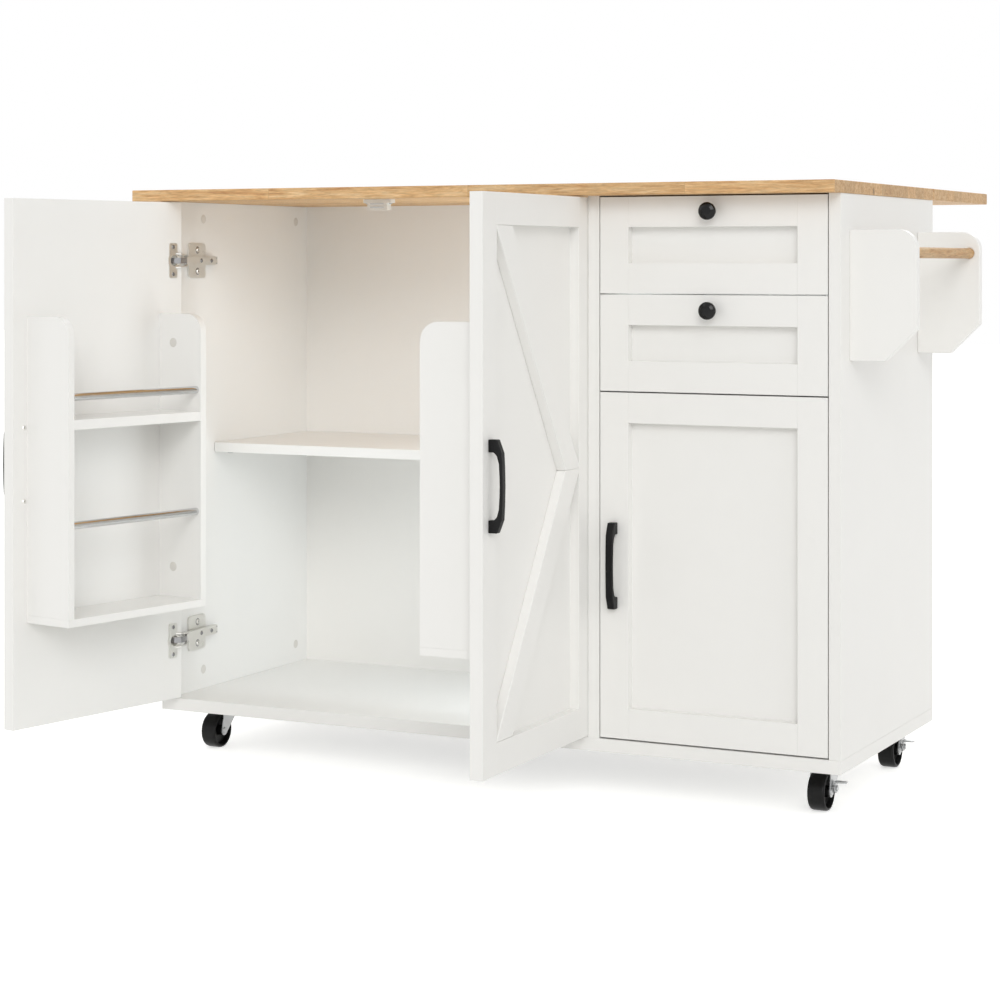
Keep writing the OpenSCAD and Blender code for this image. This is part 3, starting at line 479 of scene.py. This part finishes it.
# ---- Worktop and drop leaf ----
# Solid oak glued up from staves about 45 mm wide and 350 mm long, oiled. The leaf behind the
# worktop is made of the same staves; its edges are only eased.
def oak_wood(name, light, mid, dark, turn=0):
    """Oiled oak: staves of differing tone, long grain with dark pores, and small knots."""
    made = bpy.data.materials.new(name)
    made.use_nodes = True
    tree = made.node_tree
    shader = tree.nodes["Principled BSDF"]
    coordinates = add(tree, "ShaderNodeTexCoord")
    # the grain runs along x, or along y after a quarter turn
    place = add(tree, "ShaderNodeMapping", {"Vector": coordinates.outputs["Object"],
                                            "Rotation": (0, 0, turn)}).outputs["Vector"]
    # one tone and one shift of the grain for each stave, 350 mm by 45 mm
    stave = add(tree, "ShaderNodeTexBrick",
                {"Vector": place, "Color1": (0, 0, 0, 1), "Color2": (1, 1, 1, 1),
                 "Mortar": (0.5, 0.5, 0.5, 1), "Scale": 1.0, "Mortar Size": 0.0,
                 "Brick Width": 0.35, "Row Height": 0.045}, offset=0.37, squash=1.0)
    joint = add(tree, "ShaderNodeTexBrick",
                {"Vector": place, "Scale": 1.0, "Mortar Size": 0.0004, "Mortar Smooth": 0.5,
                 "Brick Width": 0.35, "Row Height": 0.045}, offset=0.37, squash=1.0)
    shift = add(tree, "ShaderNodeVectorMath", {0: stave.outputs["Color"], 1: (3.1, 1.7, 5.3)},
                operation="MULTIPLY")
    own = add(tree, "ShaderNodeVectorMath", {0: place, 1: shift.outputs[0]}, operation="ADD")
    # slow figure along the stave, 100 mm long and 7 mm wide
    wide = add(tree, "ShaderNodeMapping", {"Vector": own.outputs[0],
                                           "Scale": (10.0, 140.0, 140.0)})
    figure = add(tree, "ShaderNodeTexNoise", {"Vector": wide.outputs[0], "Scale": 1.0,
                                              "Detail": 5.0, "Roughness": 0.62,
                                              "Distortion": 1.4})
    # flecks of the rays, 20 mm long and 2 mm wide
    short = add(tree, "ShaderNodeMapping", {"Vector": own.outputs[0],
                                            "Scale": (50.0, 480.0, 480.0)})
    fleck = add(tree, "ShaderNodeTexNoise", {"Vector": short.outputs[0], "Scale": 1.0,
                                             "Detail": 2.0, "Distortion": 0.8})
    # pores: dark dashes 12 mm long and 0.7 mm wide, drawn a little coarse
    fine = add(tree, "ShaderNodeMapping", {"Vector": own.outputs[0],
                                           "Scale": (80.0, 1300.0, 1300.0)})
    pore = add(tree, "ShaderNodeTexNoise", {"Vector": fine.outputs[0], "Scale": 1.0,
                                            "Detail": 3.0, "Roughness": 0.65})
    bands = add(tree, "ShaderNodeValToRGB", {"Fac": figure.outputs["Fac"]})
    ramp = bands.color_ramp
    ramp.elements[0].position, ramp.elements[0].color = 0.30, linear(dark)
    ramp.elements[1].position, ramp.elements[1].color = 0.66, linear(light)
    ramp.elements.new(0.48).color = linear(mid)
    toned = add(tree, "ShaderNodeMapRange", {"Value": stave.outputs["Color"], "To Min": 0.88,
                                             "To Max": 1.06})
    flecked = add(tree, "ShaderNodeMapRange", {"Value": fleck.outputs["Fac"], "From Min": 0.3,
                                               "From Max": 0.7, "To Min": 0.86, "To Max": 1.12})
    # end grain drinks more oil and is darker
    facing_end = add(tree, "ShaderNodeVectorRotate", {"Vector": coordinates.outputs["Normal"],
                                                      "Angle": turn})
    along = add(tree, "ShaderNodeSeparateXYZ", {0: facing_end.outputs[0]})
    across = add(tree, "ShaderNodeMath", {0: along.outputs["X"]}, operation="ABSOLUTE")
    end = add(tree, "ShaderNodeMapRange", {"Value": across.outputs[0], "From Min": 0.7,
                                           "From Max": 0.95, "To Min": 1.0, "To Max": 0.84})
    first = add(tree, "ShaderNodeMath", {0: toned.outputs["Result"],
                                         1: flecked.outputs["Result"]}, operation="MULTIPLY")
    tone = add(tree, "ShaderNodeMath", {0: first.outputs[0], 1: end.outputs["Result"]},
               operation="MULTIPLY")
    stained = add(tree, "ShaderNodeVectorMath", {0: bands.outputs["Color"],
                                                 "Scale": tone.outputs[0]},
                  operation="SCALE")
    pores = add(tree, "ShaderNodeMapRange", {"Value": pore.outputs["Fac"], "From Min": 0.30,
                                             "From Max": 0.52, "To Min": 0.72, "To Max": 1.0})
    grained = add(tree, "ShaderNodeVectorMath", {0: stained.outputs[0],
                                                 "Scale": pores.outputs["Result"]},
                  operation="SCALE")
    seam = add(tree, "ShaderNodeMapRange", {"Value": joint.outputs["Fac"], "To Min": 1.0,
                                            "To Max": 0.80})
    # knots a few millimetres across, about one to a stave
    knot_place = add(tree, "ShaderNodeMapping", {"Vector": own.outputs[0],
                                                 "Scale": (6.0, 14.0, 14.0)})
    knot = add(tree, "ShaderNodeTexVoronoi", {"Vector": knot_place.outputs[0], "Scale": 1.0})
    core = add(tree, "ShaderNodeMapRange", {"Value": knot.outputs["Distance"],
                                            "From Min": 0.03, "From Max": 0.09,
                                            "To Min": 0.45, "To Max": 1.0})
    knotted = add(tree, "ShaderNodeMath", {0: seam.outputs["Result"],
                                           1: core.outputs["Result"]}, operation="MULTIPLY")
    whole = add(tree, "ShaderNodeVectorMath", {0: grained.outputs[0],
                                               "Scale": knotted.outputs[0]},
                operation="SCALE")
    tree.links.new(whole.outputs[0], shader.inputs["Base Color"])
    gloss = add(tree, "ShaderNodeMapRange", {"Value": pore.outputs["Fac"], "From Min": 0.3,
                                             "From Max": 0.7, "To Min": 0.62, "To Max": 0.44})
    tree.links.new(gloss.outputs["Result"], shader.inputs["Roughness"])
    height = add(tree, "ShaderNodeMath", {0: pores.outputs["Result"], 1: knotted.outputs[0]},
                 operation="MULTIPLY")
    bump = add(tree, "ShaderNodeBump", {"Height": height.outputs[0], "Strength": 0.35,
                                        "Distance": 0.0004})
    tree.links.new(bump.outputs["Normal"], shader.inputs["Normal"])
    shader.inputs["IOR"].default_value = 1.46
    return made


eased_edge = 0.0012
oak = oak_wood("oiled_oak", "#ecca9b", "#dcb17c", "#bf8c5a")
for node in ("worktop", "drop_leaf"):
    finish_node(node, eased_edge, oak, segments=3)

# ---- Leaf brackets ----
# Two folding brackets of zinc-plated steel carry the leaf: a leg screwed to the back board, an
# arm screwed under the leaf and a strut between them.
sheet_edge = 0.0003
for node in ("bracket_legs", "bracket_arms", "bracket_struts"):
    finish_node(node, sheet_edge, zinc, segments=1)

bracket_x, pivot_y, pivot_z, steel = 0.350, 0.2295, 0.887, 0.0025
leg_height, arm_reach = 0.160, 0.304
# how far the flanges' middle lies beside the bracket's
leg_flange, arm_flange = -0.00975, 0.01805
bracket_screw = (0.0042, 0.0020, 0.0014)   # radius, height and recess
on_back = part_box("bracket_legs")[0].y + steel
on_legs = [((s * bracket_x + leg_flange, on_back, pivot_z + z), (0, 1, 0))
           for s in (-1, 1) for z in (0.020 - leg_height, -leg_height / 2, -0.012)]
fasten("leg_screws", on_legs, *bracket_screw, zinc, "cabinet", "zinc_steel")
under_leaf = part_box("bracket_arms")[1].z - steel
on_arms = [((s * bracket_x + arm_flange, pivot_y + y, under_leaf), (0, 0, -1))
           for s in (-1, 1) for y in (0.040, arm_reach / 2, arm_reach - 0.014)]
fasten("arm_screws", on_arms, *bracket_screw, zinc, "leaf", "zinc_steel")


# ---- Doors ----
# Each door is a thin slab with stiles and rails glued on, and the double doors have two battens
# that meet at the hinge side. Sprayed white; the butt joints show as faint grooves.
def prism(outline, start, end, edge, segments=2, all_edges=False):
    """Closed mesh of an outline in x and z from one y to another, with its front edges rounded,
    or all of them."""
    shape = bmesh.new()
    near = [shape.verts.new((a, start, b)) for a, b in outline]
    far = [shape.verts.new((a, end, b)) for a, b in outline]
    shape.faces.new(near)
    shape.faces.new(far)
    for i in range(len(near)):
        shape.faces.new((near[i - 1], near[i], far[i], far[i - 1]))
    bmesh.ops.recalc_face_normals(shape, faces=shape.faces)
    return soften(shape, edge, segments, None if all_edges else lambda p: p.y < start + 1e-6)


def rect(x0, z0, x1, z1):
    """Outline of a rectangle in x and z."""
    return [(x0, z0), (x1, z0), (x1, z1), (x0, z1)]


front_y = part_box("left_side_panel")[0].y
side_gap = 0.0015
facing, slab = 0.0145, 0.0055   # thickness of the strips and of the slab behind them
inner_face = facing + slab
strip, hinge_strip = 0.045, 0.035
edge_round, batten_edge = 0.0003, 0.0010
axis_x, axis_y = 0.0021, 0.0014   # hinge axis from the panel and from the fronts
left_angle, right_angle = math.radians(100.5), math.radians(90.5)
door_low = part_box("lower_door")[0].z
door_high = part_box("left_door")[1].z
low_door_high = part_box("lower_door")[1].z
door_width = (divider_left - left_inner - 3 * side_gap) / 2
low_width = right_inner - divider_right - 2 * side_gap
hinge_inset, low_hinge_inset = 0.094, 0.075
hinge_heights = [door_low + hinge_inset, door_high - hinge_inset]
low_hinge_heights = [door_low + low_hinge_inset, low_door_high - low_hinge_inset]
cup_x, cup_radius, cup_depth = side_gap + 0.018, 0.013, 0.0115


def hung(panel_x, hand, angle):
    """From a door's own frame, x from its panel and y behind the fronts, to its place."""
    pivot = Matrix.Translation((axis_x, axis_y, 0))
    return (Matrix.Translation((panel_x, front_y, 0)) @ Matrix.Diagonal((hand, 1, 1, 1))
            @ pivot @ Matrix.Rotation(-angle, 4, "Z") @ pivot.inverted())


def bored(shape, heights):
    """Cuts the holes for the hinge cups into a closed bmesh in a door's own frame."""
    holes = bmesh.new()
    for z in heights:
        middle = Matrix.Translation((cup_x, inner_face, z)) @ Matrix.Rotation(math.pi / 2, 4, "X")
        bmesh.ops.create_cone(holes, cap_ends=True, segments=48, radius1=cup_radius,
                              radius2=cup_radius, depth=2 * cup_depth, matrix=middle)
    solids = []
    for part in (shape, holes):
        mesh = bpy.data.meshes.new("bored")
        part.to_mesh(mesh)
        part.free()
        solids.append(bpy.data.objects.new("bored", mesh))
        bpy.context.scene.collection.objects.link(solids[-1])
    cut = solids[0].modifiers.new("bored", "BOOLEAN")
    cut.operation, cut.solver, cut.object = "DIFFERENCE", "EXACT", solids[1]
    bpy.context.view_layer.update()
    evaluated = solids[0].evaluated_get(bpy.context.evaluated_depsgraph_get())
    result = bmesh.new()
    result.from_mesh(evaluated.to_mesh())
    for solid in solids:
        bpy.data.objects.remove(solid)
    return result


def stiles_and_rails(x0, z0, x1, z1, first):
    """Four strips butted round a front's edge; the first stile can be narrower."""
    return [prism(outline, 0, facing, edge_round) for outline in (
        rect(x0, z0, x0 + first, z1), rect(x1 - strip, z0, x1, z1),
        rect(x0 + first, z0, x1 - strip, z0 + strip),
        rect(x0 + first, z1 - strip, x1 - strip, z1))]


def battens(x0, z0, x1, z1):
    """Two battens from the corners at the free edge to the middle of the hinge stile."""
    middle, rise = (z0 + z1) / 2, (z1 - z0) / 2 - strip
    inner0, inner1 = x0 + hinge_strip, x1 - strip
    corner, shoulder = inner0 + strip + 0.005, 0.0025
    slope = (rise - shoulder) / (inner1 - corner)
    cut = strip / math.sin(math.atan(slope))
    return [prism([(inner1, middle + s * rise),
                   (inner1 + shoulder / slope - cut, middle + s * rise),
                   (inner0, middle + s * slope * (inner0 - corner + cut)),
                   (inner0, middle), (corner, middle),
                   (inner1, middle + s * (rise - shoulder))],
                  0, facing, batten_edge, 1, all_edges=True) for s in (-1, 1)]


# sprayed lacquer: smoother and a little brighter than the facing of the boards
door_white = satin_white("white_satin_lacquer", "#f1f0ed", 0.36)
left_place = hung(left_inner, 1, left_angle)
right_place = hung(divider_left, -1, right_angle)
lower_place = hung(right_inner, -1, 0)
for side, place, width, high, heights in (
        ("left", left_place, door_width, door_high, hinge_heights),
        ("right", right_place, door_width, door_high, hinge_heights),
        ("lower", lower_place, low_width, low_door_high, low_hinge_heights)):
    back_edges = place.inverted()
    finish_node(side + "_door", edge_round, door_white,
                where=lambda p: (back_edges @ p).y > inner_face - 1e-5)
    first = strip if side == "lower" else hinge_strip
    strips = stiles_and_rails(side_gap, door_low, side_gap + width, high, first)
    strips[0] = bored(strips[0], heights)
    if side != "lower":
        strips += battens(side_gap, door_low, side_gap + width, high)
    show(side + "_door_strips", strips, door_white, side + "_door",
         [side + "_door_frame"], place)

# ---- Hinges ----
# Concealed cup hinges of nickel-plated steel: a plate and arm screwed to each panel, a cup
# pressed into the door under its flange, and the pair of links that swings between them.
pressed_edge = 0.0008
finish_node("hinge_arms", pressed_edge, nickel)
for side in ("left", "right", "lower"):
    finish_node(side + "_hinge_cups", sheet_edge, nickel, segments=1)
plate_top, arm_top, tail_top, flange_steel = 0.003, 0.013, 0.0126, 0.0015
cheek_offset, hood_end = 0.0062, 0.0240
# the middle link in x and y of a shut door, from the arm into the cup, and its share of the turn
link_path = [(0.0115, 0.0320, 0.0), (0.0115, 0.0250, 0.0), (0.0122, 0.0225, 0.12),
             (0.0140, 0.0205, 0.35), (0.0170, 0.0195, 0.60), (0.0185, 0.0190, 0.72),
             (0.0195, 0.0160, 0.90), (0.0200, 0.0115, 1.0)]


def link(z, angle, half, depth, offset=0.0, reach=0.0):
    """One link swept along its path, of half a height and half a depth. It starts off the hinge's
    middle by an offset and spreads by its reach towards the cup."""
    shape = bmesh.new()
    points = []
    for x, y, share in link_path:
        turn = Matrix.Rotation(-angle * share, 2)
        points.append(turn @ Vector((x - axis_x, y - axis_y)) + Vector((axis_x, axis_y)))
    rings = []
    for i, point in enumerate(points):
        along = points[min(i + 1, len(points) - 1)] - points[max(i - 1, 0)]
        out = Vector((along.y, -along.x)).normalized() * depth
        side_z = z + offset + reach * i / (len(points) - 1)
        rings.append([shape.verts.new((point.x + a * out.x, point.y + a * out.y, side_z + b))
                      for a, b in ((-1, -half), (1, -half), (1, half), (-1, half))])
    for near, far in zip(rings, rings[1:]):
        for i in range(4):
            shape.faces.new((near[i - 1], near[i], far[i], far[i - 1]))
    shape.faces.new(rings[0])
    shape.faces.new(rings[-1])
    bmesh.ops.recalc_face_normals(shape, faces=shape.faces)
    return soften(shape, 0.0002, 1)


for side, panel, hand, angle, heights in (
        ("left", left_inner, 1, left_angle, hinge_heights),
        ("right", divider_left, -1, right_angle, hinge_heights),
        ("lower", right_inner, -1, 0.0, low_hinge_heights)):
    still, moved = hung(panel, hand, 0), hung(panel, hand, angle)
    middle = [link(z, angle, 0.0045, 0.0009) for z in heights]
    cheeks = [link(z, angle, 0.0011, 0.0022, s * cheek_offset, s * cheek_offset)
              for z in heights for s in (-1, 1)]
    for name, parts, finish in (("middle", middle, dark_steel), ("cheek", cheeks, nickel)):
        piece = show(side + "_" + name + "_links", parts, finish, None, (), still)
        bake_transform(piece)
    # places in a shut door's frame: distance from the panel, from the fronts, and height
    on_plate = [((plate_top, 0.0745, z + s * 0.0175), (1, 0, 0)) for z in heights for s in (-1, 1)]
    on_arm = [((arm_top, y, z), (1, 0, 0)) for z in heights for y in (0.071, 0.102)]
    on_tail = [((tail_top, 0.1185, z + s * 0.0045), (1, 0, 0)) for z in heights for s in (-1, 1)]
    on_cup = [((0.022, inner_face + flange_steel, z + s * 0.022), (0, 1, 0))
              for z in heights for s in (-1, 1)]
    for name, points, radius, height, recess, finish in (
            ("plate_washers", on_plate, 0.0060, 0.0005, 0.0, dark_steel),
            ("plate_screws", on_plate, 0.0046, 0.0020, 0.0016, nickel),
            ("arm_screws", on_arm, 0.0036, 0.0012, 0.0011, dark_steel),
            ("tail_rivets", on_tail, 0.0013, 0.0006, 0.0, dark_steel)):
        fasten(side + "_" + name, points, radius, height, recess, finish, "cabinet", "nickel",
               still)
    fasten(side + "_cup_screws", on_cup, 0.0034, 0.0010, 0.0009, dark_steel, side + "_door",
           "nickel", moved)

# ---- Catch ----
# White plastic housing screwed under the worktop where the double doors meet, with the two
# pole plates of its magnet showing as dark strips.

# moulded ABS: even, with a soft sheen and hardly any grain
catch_white = plastic("white_plastic_housing", "#efeeea", 0.4, 0.05)
finish_node("magnetic_catch", pressed_edge, catch_white)
catch_low, catch_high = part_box("magnetic_catch")
catch_x = (catch_low.x + catch_high.x) / 2
pole_half, pole_steel, pole_proud, pole_deep = 0.012, 0.0018, 0.0004, 0.006
poles = [prism([(a + catch_x, b + catch_low.z)
                for a, b in rect(-pole_half, z, pole_half, z + pole_steel)],
               catch_low.y - pole_proud, catch_low.y + pole_deep, 0.0002, 1)
         for z in (0.0035, 0.0090)]
show("catch_poles", poles, zinc, "cabinet")
on_ears = [((catch_x + s * 0.021, catch_low.y + 0.007, catch_high.z - 0.006), (0, 0, -1))
           for s in (-1, 1)]
fasten("catch_screws", on_ears, 0.0030, 0.0012, 0.0009, zinc, "cabinet", "zinc_steel")

# ---- Door racks ----
# Two round-cornered side plates, a bottom and a middle shelf of white board on each double
# door, with two polished steel rails in front.
rack_edge = 0.0009
# a cap in each hinge-side plate's inner face, over the screw that holds the plate; its grey is
# painted shade
rack_x, rack_cap_y, rack_cap_heights = 0.0525, inner_face + 0.030, (0.670, 0.312)
for side, place in (("left", left_place), ("right", right_place)):
    finish_node(side + "_rack_sides", rack_edge, door_white)
    finish_node(side + "_rack_shelves", board_edge, door_white)
    fasten(side + "_rack_caps", [((rack_x, rack_cap_y, z), (1, 0, 0)) for z in rack_cap_heights],
           *cover, cap_grey_painted_shade, side + "_door", "white_plastic", place)

# chrome: a mirror that shows its surroundings with hardly a mark
chrome = plated_metal("polished_chrome", "#dcdcdd", 0.07, 0.02)
for side in ("left", "right"):
    coat(side + "_rack_rails", chrome)

# ---- Handles ----
# Arched bar handles of die-cast zinc with square feet, sprayed matt black; each is held by two
# screws from inside the door.

# matt lacquer: near black, with a broad dull sheen on the edges
black_metal = plastic("matt_black_lacquer", "#101011", 0.40, 0.25, 0.22)
handle_half, handle_edge = 0.00575, 0.0014
# distance in mm from the door and from the middle, along the outside and back along the inside
outer_curve = [(0.0, 64.0), (13.0, 64.0), (20.0, 45.5), (21.0, 26.0), (21.5, 0.0)]
inner_curve = [(16.9, 0.0), (16.6, 14.0), (15.6, 31.0), (12.6, 41.5), (8.0, 46.3), (0.0, 46.3)]


def arched_handle():
    """Bar with its two feet as one casting, in the frame of its middle on the door's face."""
    outline = (outer_curve + [(out, -z) for out, z in reversed(outer_curve[:-1])]
               + [(out, -z) for out, z in reversed(inner_curve[1:])] + inner_curve)
    shape = bmesh.new()
    near = [shape.verts.new((-handle_half, -out / 1000, z / 1000)) for out, z in outline]
    far = [shape.verts.new((handle_half, -out / 1000, z / 1000)) for out, z in outline]
    shape.faces.new(near)
    shape.faces.new(far)
    for i in range(len(near)):
        shape.faces.new((near[i - 1], near[i], far[i], far[i - 1]))
    bmesh.ops.recalc_face_normals(shape, faces=shape.faces)
    return soften(shape, handle_edge, 3)


handle_spacing = 0.1113
handle_screw = (0.0040, 0.0016, 0.0010)
handle_x = side_gap + door_width - strip / 2
low_handle_x = side_gap + low_width - strip / 2
double_handle_z = (door_low + door_high) / 2 - 0.0015
low_handle_z = (door_low + low_door_high) / 2
for side, place, x, z in (("left", left_place, handle_x, double_handle_z),
                          ("right", right_place, handle_x, double_handle_z),
                          ("lower", lower_place, low_handle_x, low_handle_z)):
    show(side + "_arched_handle", [arched_handle()], black_metal, side + "_door",
         [side + "_handle"], place @ Matrix.Translation((x, 0, z)))
    fasten(side + "_handle_screws",
           [((x, inner_face, z + s * handle_spacing / 2), (0, 1, 0)) for s in (-1, 1)],
           *handle_screw, nickel, side + "_door", "nickel", place)


# ---- Drawers ----
# Fronts like the cupboard door's, boxes of thin white board with a grooved bottom, and steel
# runners at both sides. Each has a turned black knob on its upper rail.
def turned(profile, segments):
    """Closed mesh of a profile, radius and height, turned about z; it starts and ends on z."""
    shape = bmesh.new()
    rings = []
    for radius, height in profile:
        if radius == 0:
            rings.append([shape.verts.new((0, 0, height))])
            continue
        rings.append([shape.verts.new((radius * math.cos(math.tau * i / segments),
                                       radius * math.sin(math.tau * i / segments), height))
                      for i in range(segments)])
    for low, high in zip(rings, rings[1:] + rings[:1]):
        for i in range(segments):
            ring = [low[i - 1], low[i]] if len(low) > 1 else low[:]
            ring += [high[i], high[i - 1]] if len(high) > 1 else high[:]
            if len(ring) > 2:
                shape.faces.new(ring)
    bmesh.ops.recalc_face_normals(shape, faces=shape.faces)
    return shape


# stoved enamel: deep black, glossy, with a bright line where the rim turns
knob_black = plastic("glossy_black_enamel", "#070707", 0.20, 0.02, 0.30)
# radius and height in mm: waisted stem, rim, bevelled ring and flat middle
knob_profile = [(r / 1000, z / 1000) for r, z in (
    (0, 0), (7, 0), (6.2, 1.2), (5.5, 3), (5.0, 5.5), (5.1, 8), (5.7, 10.5), (7.2, 12.8),
    (9.6, 14.2), (12.0, 15.2), (12.8, 16.2), (13.0, 17.6), (13.0, 19.2), (12.7, 20.6),
    (11.9, 21.6), (11.0, 22.1), (8.2, 23.4), (7.6, 23.8), (6.8, 24.0), (0, 24.0))]
knob_screw = (0.0042, 0.0018, 0.0012)
for name in ("upper", "lower"):
    low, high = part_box(name + "_drawer_front")
    strips = stiles_and_rails(0, low.z, high.x - low.x, high.z, strip)
    back = prism(rect(0, low.z, high.x - low.x, high.z), facing, inner_face, 0)
    show(name + "_drawer_strips", strips + [back], door_white, name + "_drawer",
         [name + "_drawer_front"], Matrix.Translation((low.x, front_y, 0)))
    finish_node(name + "_drawer_box", board_edge, inner_board)
    knob_x, knob_z = (low.x + high.x) / 2, high.z - strip / 2
    out = Matrix.Translation((knob_x, front_y, knob_z)) @ Matrix.Rotation(math.pi / 2, 4, "X")
    show(name + "_turned_knob", [turned(knob_profile, 64)], knob_black, name + "_drawer",
         [name + "_knob"], out)
    fasten(name + "_knob_screw", [((knob_x, front_y + inner_face, knob_z), (0, 1, 0))],
           *knob_screw, zinc, name + "_drawer", "zinc_steel")
    coat(name + "_slides", zinc)
coat("runner_channels", zinc)

# ---- Towel rail ----
# Two white plates with a round upper and a sloping lower corner stand on the right panel, and
# an oak rod lies between them.
plate_edge = 0.0016
for node in ("towel_front_plate", "towel_rear_plate"):
    finish_node(node, plate_edge, door_white, segments=3)
rod_oak = oak_wood("oiled_oak_rod", "#d0ad7e", "#c39966", "#ab7c4c", math.pi / 2)
finish_node("towel_rail", 0.0, rod_oak)

# ---- Casters ----
# Swivel casters with zinc-plated forks and black plastic wheels; the two at the right end have
# a brake lever beside the fork.

# polypropylene: black with a soft sheen round the tread
black_wheel = plastic("black_polypropylene", "#0c0c0c", 0.34, 0.1, 0.22)
finish_node("caster_plates", sheet_edge, zinc, segments=1)
caster_screw = (0.0042, 0.0022, 0.0014)
swivel_x, plate_under = 0.518, 0.0675
hole_x, hole_y = 0.018, 0.013   # from the swivel to the plate's screws
swivel_ys = {"f": front_y + 0.099, "r": -front_y - 0.028}
axle_back, wheel_radius, wheel_half, bore = 0.020, 0.028, 0.013, 0.00405
# bore, hub, dished web, thin rim and crowned tread of one face; the other is its mirror
half_profile = [(bore, wheel_half + 0.0005), (bore + 0.0035, wheel_half + 0.0005),
                (bore + 0.0042, wheel_half - 0.0002), (bore + 0.0050, wheel_half - 0.0080),
                (wheel_radius - 0.0068, wheel_half - 0.0080),
                (wheel_radius - 0.0060, wheel_half - 0.0072),
                (wheel_radius - 0.0044, wheel_half - 0.0008),
                (wheel_radius - 0.0038, wheel_half - 0.0001), (wheel_radius - 0.0030, wheel_half),
                (wheel_radius - 0.0020, wheel_half - 0.0003),
                (wheel_radius - 0.0010, wheel_half - 0.0012),
                (wheel_radius - 0.0004, wheel_half - 0.0026),
                (wheel_radius, wheel_half - 0.0048)]
wheel_profile = half_profile + [(r, -h) for r, h in reversed(half_profile)]
for corner in ("fl", "fr", "rl", "rr"):
    finish_node("fork_" + corner, sheet_edge, zinc, segments=1)
    x = swivel_x if corner[1] == "r" else -swivel_x
    y = swivel_ys[corner[0]]
    hub = (Matrix.Translation((x, y - axle_back, wheel_radius))
           @ Matrix.Rotation(math.pi / 2, 4, "Y"))
    show("rolling_wheel_" + corner, [turned(wheel_profile, 96)], black_wheel,
         "wheel_" + corner, ["wheel_" + corner], hub)
    fasten("caster_screws_" + corner,
           [((x + a, y + b, plate_under), (0, 0, -1)) for a in (-hole_x, hole_x)
            for b in (-hole_y, hole_y)], *caster_screw, zinc, "cabinet", "zinc_steel")
for node in ("brake_front", "brake_rear"):
    finish_node(node, sheet_edge, zinc, segments=1)

# ---- Size ----
# The lowest and highest corners of the solids and of what is shown, in metres.
low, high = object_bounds()
